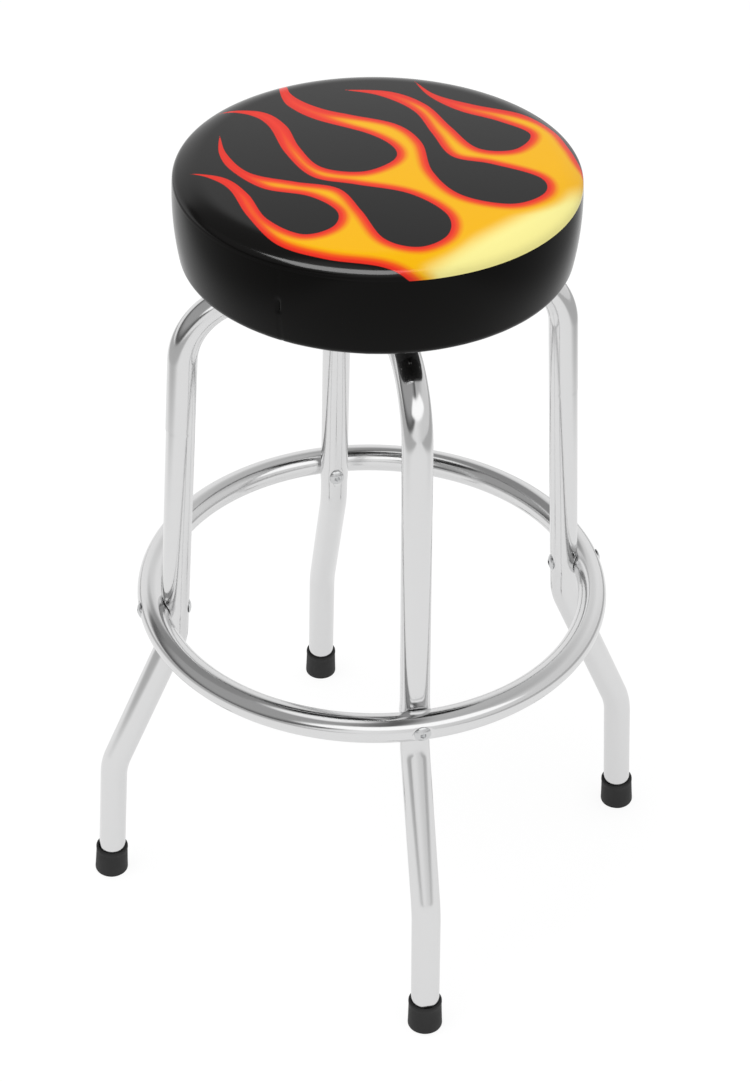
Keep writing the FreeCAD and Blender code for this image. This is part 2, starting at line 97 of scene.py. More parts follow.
class Finish:
    """The nodes of one material, or of the studio's world, and a method that adds any node."""

    def __init__(self, name, owner=None, **fixed):
        self.material = owner or bpy.data.materials.new(name)
        self.material.use_nodes = True
        self.tree = self.material.node_tree
        self.shader = self.tree.nodes.get("Principled BSDF") or self.tree.nodes["Background"]
        self.set(**fixed)

    def feed(self, socket, value):
        """Links a wire to a socket, or sets the socket to a plain value."""
        if isinstance(value, Wire):
            self.tree.links.new(value.socket, socket)
        else:
            socket.default_value = value

    def node(self, kind, settings=None, sockets=None, output=0):
        """Adds a node with its settings, feeds its sockets and gives one of its outputs."""
        node = self.tree.nodes.new(kind)
        for name, value in (settings or {}).items():
            setattr(node, name, value)
        for name, value in (sockets or {}).items():
            self.feed(node.inputs[name], value)
        return Wire(self, node.outputs[output])

    def set(self, **values):
        """Sets or links the shader's own sockets, named with underscores for spaces."""
        for name, value in values.items():
            self.feed(self.shader.inputs[name.replace("_", " ")], value)

    def place(self):
        """A point's place in metres. Every piece's own origin is the stool's."""
        return self.node("ShaderNodeTexCoord", output=3)

    def place_along(self, axis):
        """How far a point lies along X, Y or Z, which are 0, 1 and 2."""
        return self.node("ShaderNodeSeparateXYZ", {}, {"Vector": self.place()}, output=axis)

    def step(self, value, start, end, low=0.0, high=1.0):
        """A smooth rise from low to high as the value goes from start to end."""
        sockets = {"Value": value, "From Min": start, "From Max": end}
        sockets |= {"To Min": low, "To Max": high}
        return self.node("ShaderNodeMapRange", {"interpolation_type": "SMOOTHSTEP"}, sockets)

    def mix(self, share, first, second):
        """The first colour, changed to the second by the given share."""
        sockets = {0: share, 6: first, 7: second}
        return self.node("ShaderNodeMix", {"data_type": "RGBA"}, sockets, output=2)

    def ramp(self, share, *stops):
        """A colour that runs through stops, each a share and the colour shown there."""
        colour = self.node("ShaderNodeValToRGB", {}, {"Fac": share})
        elements = colour.socket.node.color_ramp.elements
        for place, code in stops[1:-1]:
            elements.new(place).color = (*linear(code), 1)
        for end, (place, code) in ((elements[0], stops[0]), (elements[-1], stops[-1])):
            end.position = place
            end.color = (*linear(code), 1)
        return colour

    def noise(self, scale, detail=2.0):
        """An uneven value about 0.5, finer with a greater scale."""
        sockets = {"Scale": scale, "Detail": detail, "Vector": self.place()}
        return self.node("ShaderNodeTexNoise", {}, sockets)

    def bump(self, height, distance, strength):
        """Lets a height stand out of the surface by a distance in metres."""
        sockets = {"Height": height, "Distance": distance, "Strength": strength}
        self.set(Normal=self.node("ShaderNodeBump", {}, sockets))

    def blend(self, share, other):
        """Shows another shader in place of the finish's own, by the given share."""
        own = Wire(self, self.shader.outputs[0])
        both = self.node("ShaderNodeMixShader", {}, {0: share, 1: own, 2: other})
        self.feed(self.tree.nodes["Material Output"].inputs["Surface"], both)

    def seen(self):
        """1 for what the camera sees straight, and 0 for the rest."""
        return self.node("ShaderNodeLightPath", output=0)

    def mirrored(self):
        """1 for what is seen in metal or gloss, and 0 for the rest."""
        return self.node("ShaderNodeLightPath", output=3)

    def on(self, piece):
        """Gives the finish to a piece in place of what it had."""
        piece.data.materials.clear()
        piece.data.materials.append(self.material)
        return piece


def linear(code):
    """A colour written as on a screen, #rrggbb, in the linear values that a shader takes."""
    screen = np.array([int(code[i : i + 2], 16) / 255 for i in (1, 3, 5)])
    return tuple(np.where(screen < 0.04045, screen / 12.92, ((screen + 0.055) / 1.055) ** 2.4))


def solid(name, grids, body, sharp=None):
    """One piece from grids of points, each a closed form with rows along it and columns around.

    A grid's first and last rows are closed by a fan to their middle point, unless the two rows
    meet. Faces are turned to point outwards, which the sign of the enclosed volume tells.
    """
    points, quads, fans = [], [], []
    start = 0
    for grid in grids:
        rows, columns = grid.shape[:2]
        ring = np.allclose(grid[0], grid[-1], atol=1e-9)
        if ring:
            grid = grid[:-1]
            rows -= 1
        i, j = np.meshgrid(np.arange(rows if ring else rows - 1), np.arange(columns), indexing="ij")
        after, beside = (i + 1) % rows, (j + 1) % columns
        corners = [(i, j), (i, beside), (after, beside), (after, j)]
        quad = np.stack([row * columns + column for row, column in corners], axis=-1)
        quad = quad.reshape(-1, 4)
        fan = np.zeros((0, 3), int)
        flat = grid.reshape(-1, 3)
        if not ring:
            first = np.arange(columns)
            last = first + (rows - 1) * columns
            middles = np.stack([grid[0].mean(0), grid[-1].mean(0)])
            near = np.stack([np.roll(first, -1), first, np.full(columns, len(flat))], axis=-1)
            far = np.stack([last, np.roll(last, -1), np.full(columns, len(flat) + 1)], axis=-1)
            fan = np.vstack([near, far])
            flat = np.vstack([flat, middles])
        a, b, c, d = (flat[quad[:, n]] for n in range(4))
        volume = np.einsum("ij,ij->", a, np.cross(b, c)) + np.einsum("ij,ij->", a, np.cross(c, d))
        if len(fan):
            a, b, c = (flat[fan[:, n]] for n in range(3))
            volume += np.einsum("ij,ij->", a, np.cross(b, c))
        if volume < 0:
            quad, fan = quad[:, ::-1], fan[:, ::-1]
        points.append(flat)
        quads.append(quad + start)
        fans.append(fan + start)
        start += len(flat)
    mesh = bpy.data.meshes.new(name)
    faces = np.vstack(quads).tolist() + np.vstack(fans).tolist()
    mesh.from_pydata(np.vstack(points).tolist(), [], faces)
    mesh.shade_smooth()
    if sharp:
        mesh.set_sharp_from_angle(angle=math.radians(sharp))
    piece = bpy.data.objects.new(name, mesh)
    bpy.context.scene.collection.objects.link(piece)
    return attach(piece, body)


def bent_line(points, bends, step):
    """Places and directions along straight runs joined by tangent arcs, in the XZ plane.

    A run is stepped evenly. An arc swings from the direction before the bend to the one after.
    """
    points = np.array(points, float)
    places, directions = [], []
    start = points[0]
    for corner, following, bend in zip(points[1:-1], points[2:], bends):
        before = (corner - start) / np.linalg.norm(corner - start)
        after = (following - corner) / np.linalg.norm(following - corner)
        turn = math.acos(before @ after)
        enter = corner - before * bend * math.tan(turn / 2)
        count = max(2, round(np.linalg.norm(enter - start) / step))
        share = np.linspace(0, 1, count, endpoint=False)
        places.append(start + share[:, None] * (enter - start))
        directions.append(np.tile(before, (len(share), 1)))
        swing = np.linspace(0, turn, max(6, round(turn * bend / step)), endpoint=False)[:, None]
        inward = (after - before * (before @ after)) / math.sin(turn)
        places.append(enter + bend * (np.sin(swing) * before + (1 - np.cos(swing)) * inward))
        directions.append(np.cos(swing) * before + np.sin(swing) * inward)
        start = enter + bend * (math.sin(turn) * before + (1 - math.cos(turn)) * inward)
    share = np.linspace(0, 1, round(np.linalg.norm(points[-1] - start) / step))
    places.append(start + share[:, None] * (points[-1] - start))
    directions.append(np.tile(after, (len(share), 1)))
    return np.vstack(places), np.vstack(directions)


def soft_least(a, b, softness):
    """The lesser of two values, with a rounded change from one to the other."""
    near = np.clip(0.5 + 0.5 * (b - a) / softness, 0, 1)
    return b + (a - b) * near - softness * near * (1 - near)


def ring_press(out, height, reach):
    """Presses the foot ring into a leg: out is each point's distance from the stool's axis.

    The tool's face is the ring's own tube. Above and below it the dent fades as the exponential
    of the height, as it does where a tube is squeezed. reach is the leg's outer face.
    """
    above = np.abs(height - RING_HEIGHT)
    tool_radius = TUBE_RADIUS + RING_PLAY
    deep = RING_RADIUS - np.sqrt(np.maximum(tool_radius**2 - above**2, 0))
    deep = np.where(above < tool_radius, deep, reach)
    fading = reach - DENT_DEPTH * np.exp(-above / DENT_FADE)
    limit = soft_least(deep, fading, 2.0 * MM)
    return soft_least(out, limit, 1.6 * MM)


def dish(height, sideways):
    """How far a dish for a domed head has risen from its flat bottom, along its sloping edge."""
    from_middle = np.hypot(height - RING_HEIGHT, sideways)
    return DISH_SLOPE * np.maximum(from_middle - DISH_RADIUS, 0)


def nut_dish(out, height, sideways):
    """The dish coined into a leg's inner face for the barrel nut's head."""
    return -soft_least(-out, dish(height, sideways) - NUT_SEAT, DISH_LIP)


def lap_slope(along):
    """How far the lap's flat has risen along an arch: as much as the way past its half width."""
    return np.maximum(np.abs(along) - LAP_HALF_WIDTH, 0)


def leg_arch(lap):
    """Tube surface: each place on the centre line plus the tube's radius in every direction.

    lap is +1 for the arch pressed from below and -1 for the one pressed from above.
    """
    right = np.array(ARCH_KNEES) * MM
    lean = right[1] - right[0]
    right[0] += lean / np.linalg.norm(lean) * TUBE_END
    left = right[::-1] * (-1, 1)
    bends = np.array(ARCH_BENDS + ARCH_BENDS[::-1]) * MM
    places, ways = bent_line(np.vstack([right, left]), bends, 1.4 * MM)
    angle = np.linspace(0, 2 * np.pi, ROUND_SIDES, endpoint=False)
    outward = TUBE_RADIUS * np.cos(angle)
    x = places[:, :1] + outward * ways[:, 1:]
    z = places[:, 1:] - outward * ways[:, :1]
    y = np.tile(TUBE_RADIUS * np.sin(angle), (len(places), 1))

    # The upright legs take the ring and the nuts. Where a tube is dented it grows wider.
    side = np.sign(places[:, :1])
    out = np.hypot(x, y)
    reach = np.abs(places[:, :1]) + TUBE_RADIUS / np.maximum(np.abs(ways[:, 1:]), 0.5)
    upright = places[:, 1:] < PRESSES_END
    pressed = np.where(upright, ring_press(out, z, reach), out)
    dent = np.where(upright, np.abs(reach - ring_press(reach, z, reach)), 0)
    y = y * (1 + DENT_WIDENING * dent)
    pressed = np.where(upright, nut_dish(pressed, z, y), pressed)
    x = np.where(upright, side * np.sqrt(np.maximum(pressed**2 - y**2, 0)), x)

    # Up at the crossing the arch is pressed flat at the middle of its height.
    middle = ARCH_KNEES[3][1] * MM
    over = lap * (z - middle)
    squeezed = -soft_least(-over, lap_slope(x) - LAP_GAP, 3 * MM)
    z = np.where(upright, z, middle + lap * squeezed)
    return np.stack([x, y, z], axis=-1)


def quarter_turned(grid, quarters=1):
    """The same form turned about the stool's axis by quarter turns."""
    angle = quarters * math.pi / 2
    c, s = math.cos(angle), math.sin(angle)
    return grid @ np.array([[c, s, 0], [-s, c, 0], [0, 0, 1]])


chrome = Finish("polished chrome", Metallic=1.0, Base_Color=(0.77, 0.77, 0.772, 1))
wear = chrome.noise(90.0, 3.0)
chrome.set(Roughness=0.1 + 0.07 * wear)
chrome.bump(chrome.noise(35.0, 1.0), 0.00006, 0.35)

legs_left_right = solid("tube_left_right", [leg_arch(1)], "frame")
legs_front_back = solid("tube_front_back", [quarter_turned(leg_arch(-1))], "frame")
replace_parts(legs_left_right, "leg_arch_left_right")
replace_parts(legs_front_back, "leg_arch_front_back")
for tube in (legs_left_right, legs_front_back):
    chrome.on(tube)


# Foot ring. The same tube rolled to a ring, butt welded and ground before chroming. It nests in
# the four saddles, and a dish is coined into it for each bolt's head.

BOLT_SEAT = 211.2 * MM

# The columns stand closer together at the four bolts, where the dishes are.
even = np.linspace(0, 2 * np.pi, 720, endpoint=False)[:, None]
around_ring = even - 0.19 * np.sin(4 * even)
around_tube = np.linspace(0, 2 * np.pi, ROUND_SIDES, endpoint=False)
ring_out = RING_RADIUS + TUBE_RADIUS * np.cos(around_tube)
x = ring_out * np.cos(around_ring)
y = ring_out * np.sin(around_ring)
z = np.broadcast_to(RING_HEIGHT + TUBE_RADIUS * np.sin(around_tube), x.shape)
x, y = (
    np.sign(v) * soft_least(np.abs(v), BOLT_SEAT + dish(z, across), DISH_LIP)
    for v, across in ((x, y), (y, x))
)
ring_grid = np.stack([x, y, z], axis=-1)
ring_grid = np.concatenate([ring_grid, ring_grid[:1]])
foot_ring = solid("foot_ring_tube", [ring_grid], "frame")
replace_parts(foot_ring, "foot_ring")
chrome.on(foot_ring)


# Ring bolts and barrel nuts. Domed heads with a hexagon socket, outside the ring and on the
# legs' inner faces. Plated steel, a shade darker than the tube.

HEAD_RADIUS = 7.25 * MM
HEAD_HEIGHT = 3.2 * MM
HEAD_RIM = 0.7 * MM
SOCKET_WIDTH = 4.6 * MM
SOCKET_DEPTH = 2.8 * MM
SOCKET_MOUTH = 2.7 * MM
DRILL_POINT = 0.6 * MM

# Profiles of radius and height in millimetres, where 0 is the seat of the head.
SHANK = [(0.1, 0.4), (3.0, 0.4), (3.0, -40.0), (2.4, -40.6), (0.1, -40.6)]
BARREL = [(0.1, 0.4), (4.5, 0.4), (4.5, -16.0), (3.05, -16.0), (3.05, -2.0), (0.1, -2.0)]

COMPASS = [(1, 0), (0, 1), (-1, 0), (0, -1)]


def rounded(corners, radii, pieces=5):
    """A profile from corner to corner, each inner corner replaced by a tangent arc."""
    corners = np.array(corners, float)
    run = [corners[:1]]
    for before, corner, after, radius in zip(corners, corners[1:], corners[2:], radii):
        u = (before - corner) / np.linalg.norm(before - corner)
        v = (after - corner) / np.linalg.norm(after - corner)
        half = math.acos(np.clip(u @ v, -1, 1)) / 2
        if radius == 0 or half > 1.56:
            run.append(corner[None])
            continue
        setback = radius / math.tan(half)
        centre = corner + (u + v) / np.linalg.norm(u + v) * radius / math.sin(half)
        first = corner + u * setback - centre
        last = corner + v * setback - centre
        swing = math.acos(np.clip(first @ last / radius**2, -1, 1))
        share = np.linspace(0, 1, pieces + 1)[:, None]
        weights = np.sin((1 - share) * swing), np.sin(share * swing)
        run.append(centre + (weights[0] * first + weights[1] * last) / math.sin(swing))
    run.append(corners[-1:])
    return np.vstack(run)


def turned(profile, sides=64):
    """A grid turned about Z from a profile of (radius, height) points."""
    angle = np.linspace(0, 2 * np.pi, sides, endpoint=False)
    radius, height = profile[:, :1], profile[:, 1:]
    return np.stack([radius * np.cos(angle), radius * np.sin(angle), height + 0 * angle], axis=-1)


def pointing(grid, way, origin):
    """Turns a grid made along +Z to point along way, and moves it to origin."""
    turn = Vector((0, 0, 1)).rotation_difference(Vector(way)).to_matrix()
    return grid @ np.array(turn).T + np.array(origin)


def hexagon_reach(angle, width):
    """Distance from a hexagon's middle to its edge: half its width over the cosine to a flat."""
    to_flat = (angle + np.pi / 6) % (np.pi / 3) - np.pi / 6
    return width / 2 / np.cos(to_flat)


def button_head():
    """A domed head over its seat, its hexagon socket's wall following the hexagon's reach."""
    rise = HEAD_HEIGHT - HEAD_RIM
    sphere = (HEAD_RADIUS**2 + rise**2) / (2 * rise)
    out = np.linspace(HEAD_RADIUS, SOCKET_MOUTH, 16)
    dome = np.stack([out, HEAD_HEIGHT - sphere + np.sqrt(sphere**2 - out**2)], axis=-1)
    skirt = [(HEAD_RADIUS - 0.3 * MM, 0), (HEAD_RADIUS, 0.3 * MM)]
    head = turned(np.vstack([skirt, dome]), 96)
    angle = np.linspace(0, 2 * np.pi, 96, endpoint=False)
    edge = hexagon_reach(angle, SOCKET_WIDTH)
    lip = HEAD_HEIGHT - sphere + np.sqrt(sphere**2 - edge**2)
    floor = HEAD_HEIGHT - SOCKET_DEPTH
    rows = [
        (edge + 0.12 * MM, lip),
        (edge, lip - 0.15 * MM),
        (edge, floor + 0 * angle),
        (edge * 0.1, floor - DRILL_POINT + 0 * angle),
    ]
    socket = [np.stack([r * np.cos(angle), r * np.sin(angle), h], axis=-1) for r, h in rows]
    return np.concatenate([head, np.stack(socket)])


def four_around(grids, outwards, seat):
    """The same forms at each compass point, standing on their seat: outwards is 1, or -1 for in."""
    return [
        pointing(grid, (outwards * c, outwards * s, 0), (c * seat, s * seat, RING_HEIGHT))
        for c, s in COMPASS
        for grid in grids
    ]


plated = Finish("plated bolts", Metallic=1.0, Base_Color=(0.66, 0.665, 0.67, 1))
plated.set(Roughness=0.12 + 0.1 * plated.noise(900.0))

head = button_head()
shank = turned(np.array(SHANK) * MM, 32)
barrel = turned(np.array(BARREL) * MM, 32)
for name, node, grids, outwards, seat in [
    ("ring_bolt_heads", "ring_bolts", (head, shank), 1, BOLT_SEAT),
    ("ring_nut_heads", "ring_barrel_nuts", (head, barrel), -1, NUT_SEAT),
]:
    piece = solid(name, four_around(grids, outwards, seat), "frame", sharp=35)
    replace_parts(plated.on(piece), node)


# Foot tips. Moulded black rubber pushed over the tube's ends, with a rolled lip at the top and a
# rounded, flat-bottomed sole. A steel washer inside keeps the tube from cutting through.

FOOT_RADIUS = 253.5 * MM

# A leg's foot leans out by 8.8 mm in 130.7 mm. The sole is set lower, so that its flat, which is
# 13.3 mm in radius, still reaches the floor on the side that the lean lifts.
TIP_LEAN = math.atan2(8.8, 130.7)
sole = -13.3 * math.tan(TIP_LEAN)
tip_outside = [(0.2, sole), (15.7, sole), (15.3, 9.0), (14.9, 24.0), (15.15, 26.2), (15.0, 29.0)]
tip_bore = [(12.75, 29.0), (12.75, 5.0), (0.2, 5.0)]
tip_profile = rounded(tip_outside + tip_bore, [2.4, 6.0, 1.2, 1.2, 1.1, 0.8, 0.4, 0])
lean = np.array(Matrix.Rotation(-TIP_LEAN, 3, "Y"))
tip = turned(tip_profile * MM, 96) @ lean.T + (FOOT_RADIUS, 0, 0)

# What would then pass under the floor is pressed level with it.
tip[..., 2] = -soft_least(-tip[..., 2], 0.0, 0.4 * MM)
tip[..., 2] -= tip[..., 2].min()

rubber = Finish("moulded rubber", Base_Color=(0.022, 0.022, 0.022, 1), Specular_IOR_Level=0.35)
grit = rubber.noise(1400.0, 4.0)
rubber.set(Roughness=0.55 + 0.2 * rubber.noise(60.0))
rubber.bump(grit, 0.00012, 0.5)
tips = solid("rubber_tips", [quarter_turned(tip, n) for n in range(4)], "frame", sharp=50)
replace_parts(rubber.on(tips), "foot_tips")

zinc = Finish("bright zinc", Metallic=1.0, Base_Color=(0.52, 0.53, 0.52, 1))
grain = zinc.noise(220.0, 3.0)
zinc.set(Roughness=0.26 + 0.18 * grain)
zinc.bump(grain, 0.00004, 0.3)
zinc.on(nodes["foot_tip_washers"])


# Swivel. Two stamped plates with a ring of caged balls between them, joined by a tubular rivet,
# screwed to the arches below and to the seat board above.

enamel = Finish("satin black enamel", Base_Color=(0.018, 0.018, 0.019, 1), Specular_IOR_Level=0.5)
peel = enamel.noise(260.0, 2.0)
enamel.set(Roughness=0.32 + 0.15 * enamel.noise(30.0))
enamel.bump(peel, 0.00008, 0.4)
for name in ("swivel_lower_plate", "swivel_upper_plate"):
    enamel.on(nodes[name])
for name in (
    "arch_bolts",
    "arch_bolt_washers",
    "plate_weld_nuts",
    "swivel_rivet",
    "plate_screws",
    "board_tee_nuts",
):
    zinc.on(nodes[name])

ball_steel = Finish("ball steel", Metallic=1.0, Base_Color=(0.6, 0.6, 0.61, 1))
ball_steel.set(Roughness=0.06 + 0.04 * ball_steel.noise(400.0))
ball_steel.on(nodes["swivel_balls"])
nylon = Finish("natural nylon", Base_Color=(0.72, 0.69, 0.58, 1), Specular_IOR_Level=0.4)
nylon.set(Roughness=0.45 + 0.1 * nylon.noise(120.0))
nylon.on(nodes["swivel_cage"])
brass = Finish("turned brass", Metallic=1.0, Base_Color=(0.62, 0.45, 0.2, 1))
brass.set(Roughness=0.2 + 0.15 * brass.noise(300.0))
brass.on(nodes["swivel_thrust_washer"])


# Seat board. A disc of plywood with tee nuts let into it from above. Its underside is sprayed
# black before the cushion is built on it.

BOARD_BOTTOM = 656.2 * MM
PLY = 1.7 * MM

plywood = Finish("plywood", Specular_IOR_Level=0.3)
sockets = {"Vector": plywood.place(), "Scale": (30.0, 3.0, 30.0)}
stretch = plywood.node("ShaderNodeMapping", {}, sockets)
figure = plywood.node(
    "ShaderNodeTexNoise",
    {},
    {"Vector": stretch, "Scale": 6.0, "Detail": 6.0, "Distortion": 0.6},
)
height = plywood.place_along(2)
layer = height.maths("FRACT", height * (1 / PLY))
wood = plywood.ramp(figure + 0.15 * layer, (0.3, "#9a7449"), (0.55, "#b68d5c"), (0.75, "#c8a273"))
sprayed = plywood.step(height, BOARD_BOTTOM + 1.2 * MM, BOARD_BOTTOM + 0.4 * MM)
plywood.set(Base_Color=plywood.mix(sprayed, wood, (0.012, 0.012, 0.012, 1)))
plywood.set(Roughness=0.6 + 0.2 * figure)
plywood.bump(figure, 0.0002, 0.4)
plywood.on(nodes["seat_board"])


# Cushion. A foam pad on the board under a vinyl cover. The cover is a round top panel and a
# side band, joined by a seam that stands just under the shoulder, and is pulled tight under
# the board, where it is stapled. This section works out the cover's outer profile.

SEAT_RADIUS = 165.0
UNDERSIDE_RADIUS = 161.6
SIDE_BULGE = 3.3
CROWN_RISE = 4.8
SHOULDER_ROUND = 40.0
SEAM_ROUND = 8.5
SEAM_ROUND_HEIGHT = 726.0
BOTTOM_ROUND = 8.2
SEAT_BOTTOM = 655.1
SEAT_TOP = 742.8
SEAM_HEIGHT = 725.0
TURN_UNDER_RADIUS = 124.6
VINYL = 1.1
SEAM_ROLL = 0.03
SEAM_ROLL_WIDTH = 0.8


def circle_through(a, b, c):
    """Centre and radius of the circle through three points of a profile."""
    rows = 2 * np.array([np.subtract(b, a), np.subtract(c, a)])
    sums = [np.dot(b, b) - np.dot(a, a), np.dot(c, c) - np.dot(a, a)]
    centre = np.linalg.solve(rows, sums)
    return centre, np.linalg.norm(centre - a)


def touching(first, first_radius, second, second_radius, radius):
    """Centre of an arc that lies inside two circles and touches both.

    It is the corner of a triangle on the line between their centres, whose other two sides are
    the circles' radii, each less the arc's own. Of two such corners it is the one nearer the axis.
    """
    apart = second - first
    base = np.linalg.norm(apart)
    near, far = first_radius - radius, second_radius - radius
    along = (near**2 - far**2 + base**2) / (2 * base)
    across = math.sqrt(near**2 - along**2)
    corners = [
        first + (along * apart + side * across * np.array([-apart[1], apart[0]])) / base
        for side in (1, -1)
    ]
    return min(corners, key=lambda corner: corner[0])


def arc_points(centre, radius, first, last, count):
    """Points of an arc from one angle to another, both ends included."""
    angle = np.linspace(first, last, count)
    return centre + radius * np.stack([np.cos(angle), np.sin(angle)], axis=-1)


def bearing(centre, point):
    return math.atan2(point[1] - centre[1], point[0] - centre[0])


def level_on(centre, radius, height):
    """The outer point at a height, on a circle."""
    return np.array([centre[0] + math.sqrt(radius**2 - (height - centre[1]) ** 2), height])


def cover_profile():
    """The cover's outer profile in millimetres, from the axis over the shoulder to the underside.

    It is a row of arcs, each tangent to the next: crown, shoulder, the tighter round at the
    seam, side and heel. Then it runs level under the board to the cut edge.
    """
    rim = SEAT_TOP - CROWN_RISE
    middle = (rim + SEAT_BOTTOM) / 2
    waist = (SEAT_RADIUS + UNDERSIDE_RADIUS) / 2 + SIDE_BULGE
    crown, crown_radius = circle_through((-SEAT_RADIUS, rim), (0, SEAT_TOP), (SEAT_RADIUS, rim))
    bottom = (UNDERSIDE_RADIUS, SEAT_BOTTOM)
    side, side_radius = circle_through((SEAT_RADIUS, rim), (waist, middle), bottom)
    seam = level_on(side, side_radius - SEAM_ROUND, SEAM_ROUND_HEIGHT)
    heel = level_on(side, side_radius - BOTTOM_ROUND, SEAT_BOTTOM + BOTTOM_ROUND)
    shoulder = touching(crown, crown_radius, seam, 2 * SHOULDER_ROUND - SEAM_ROUND, SHOULDER_ROUND)
    crown_end = bearing(crown, shoulder)
    shoulder_end = bearing(shoulder, seam)
    side_start = bearing(side, seam)
    side_end = bearing(side, heel)
    return np.vstack([
        arc_points(crown, crown_radius, math.pi / 2, crown_end, 160),
        arc_points(shoulder, SHOULDER_ROUND, crown_end, shoulder_end, 40)[1:],
        arc_points(seam, SEAM_ROUND, shoulder_end, side_start, 24)[1:],
        arc_points(side, side_radius, side_start, side_end, 70)[1:],
        arc_points(heel, BOTTOM_ROUND, side_end, -math.pi / 2, 18)[1:],
        [(TURN_UNDER_RADIUS, SEAT_BOTTOM)],
    ])


profile = cover_profile()
steps = np.linalg.norm(np.diff(profile, axis=0), axis=1)
run = np.concatenate([[0], np.cumsum(steps)])
seam_run = np.interp(-SEAM_HEIGHT, -profile[:, 1], run)


def at_run(distance, inset=0.0):
    """Radius and height at a distance along the profile, moved inwards square to it by inset."""
    radius = np.interp(distance, run, profile[:, 0])
    height = np.interp(distance, run, profile[:, 1])
    ahead = np.minimum(distance + 0.5, run[-1])
    behind = np.maximum(distance - 0.5, 0)
    along = np.stack([
        np.interp(ahead, run, profile[:, 0]) - np.interp(behind, run, profile[:, 0]),
        np.interp(ahead, run, profile[:, 1]) - np.interp(behind, run, profile[:, 1]),
    ])
    along = along / np.linalg.norm(along, axis=0)
    return radius + inset * along[1], height - inset * along[0]


def seam_roll(distance):
    """How far the vinyl rolls in beside the seam: a bell curve of the distance from it."""
    return SEAM_ROLL * np.exp(-(((distance - seam_run) / SEAM_ROLL_WIDTH) ** 2))


def around_seat(distance, inset, sides):
    """A grid of the cover: rows at distances along the profile, columns around the axis."""
    radius, height = at_run(distance, inset)
    return turned(np.stack([radius, height], axis=-1) * MM, sides)


# Foam pad. Moulded open-cell foam, glued on the board and drawn down round its edge.

FOAM_SIDES = 160
FOAM_GAP = 2.4
BOARD_RADIUS = 153.0
BOARD_TOP = 668.4

foam_run = np.linspace(2.0, run[-1] - 12.0, 90)
foam_skin = around_seat(foam_run, VINYL + FOAM_GAP, FOAM_SIDES)
board_edge = np.array([(BOARD_RADIUS + 0.1, 656.8), (BOARD_RADIUS, BOARD_TOP), (1.0, BOARD_TOP)])
foam_grid = np.concatenate([foam_skin, turned(board_edge * MM, FOAM_SIDES)])
foam = Finish("foam", Specular_IOR_Level=0.1, Roughness=0.95)
cells = foam.node("ShaderNodeTexVoronoi", {}, {"Vector": foam.place(), "Scale": 700.0})
foam.set(Base_Color=foam.ramp(cells, (0.0, "#b9a468"), (1.0, "#e2d29a")))
foam.bump(cells, 0.0004, 0.6)
pad = solid("foam_pad", [foam_grid], "seat")
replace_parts(foam.on(pad), "seat_foam")


# Top panel. Gloss vinyl printed with a traditional flame pattern: licks run from the rim across
# black ground, pale yellow at the root, then gold, then orange, with a red outline. The print
# lies flat before the panel is drawn over the shoulder, so it is worked out on the flat panel.

TOP_ROWS = 120
TOP_SIDES = 640

# Rows beside the seam, in millimetres from it, closer together than on the rest of the cover.
SEAM_STEPS = np.array([0, 0.6, 1.2, 1.8, 2.4, 3.2, 4, 5])

# The flames' outline in millimetres from the panel's middle. Each stretch is one smooth curve,
# and two stretches meet at a lick's tip. The root lies past the rim at the right.
FLAME_STRETCHES = [
    [(30, -215), (-6, -177), (-28, -159), (-70, -141), (-103, -114), (-118, -71), (-125, -28),
     (-137, -6), (-154, 9)],
    [(-154, 9), (-126, -8), (-112, -38), (-104, -78), (-82, -106), (-57, -101), (-49, -79),
     (-66, -52), (-99, -32), (-119, 3), (-124, 34), (-118.5, 67.5)],
    [(-118.5, 67.5), (-118, 31), (-105, -5), (-73, -27), (-41, -45), (-30, -82), (-21, -125),
     (3, -141), (28, -128), (34, -98), (12, -63), (-27, -41), (-58, -22), (-72, 22), (-77, 72),
     (-90, 97), (-118, 112)],
    [(-118, 112), (-79, 100), (-63, 70), (-59, 29), (-48, -8), (-18, -22), (10, -9), (16, 12),
     (1, 40), (-36.5, 74.5), (-53, 101.5), (-57, 122), (-55, 150), (-51, 168)],
    [(-51, 168), (-48.5, 150), (-48.5, 130), (-41, 111), (-26, 92), (-6, 77), (27, 53), (40, 18),
     (38, -31), (52, -71), (88, -90), (118, -77), (121, -52), (88, -26), (59, -9), (52, 32),
     (46, 76), (24, 110), (-5, 128)],
    [(-5, 128), (35, 116), (59, 86), (70, 42), (83, 2), (112, -4), (132, 21), (111.6, 47.6),
     (83.7, 70.8), (65.5, 101.5), (58.5, 138.5)],
    [(58.5, 138.5), (71, 105), (98, 81), (135, 58), (155, 28), (160.5, -4), (167, -38),
     (200, -90)],
]
PAST_THE_RIM = [(240, -90), (240, -215)]

# Where the root lies and which way it is from the middle, in the same plane. Each start is where
# a colour or a gloss begins to change with the distance, each full where it has changed.
ROOT = np.array([100.0, -130.0])
ROOT_WAY = np.array([0.55, -0.835])
BACK_WAY = np.array([1.0, 2.0])
OUTLINE_DEPTH = 16.0
LICKS_START = 212.0
LICKS_FULL = 258.0
LICKS_SHARE = 0.45
PALE_START = 130.0
PALE_FULL = 152.0
DULL_START = 729.6 * MM
DULL_FULL = 728.0 * MM
BLACK_GROUND = (0.0035, 0.0032, 0.003, 1)
PALE_YELLOW = (*linear("#fff69e"), 1)


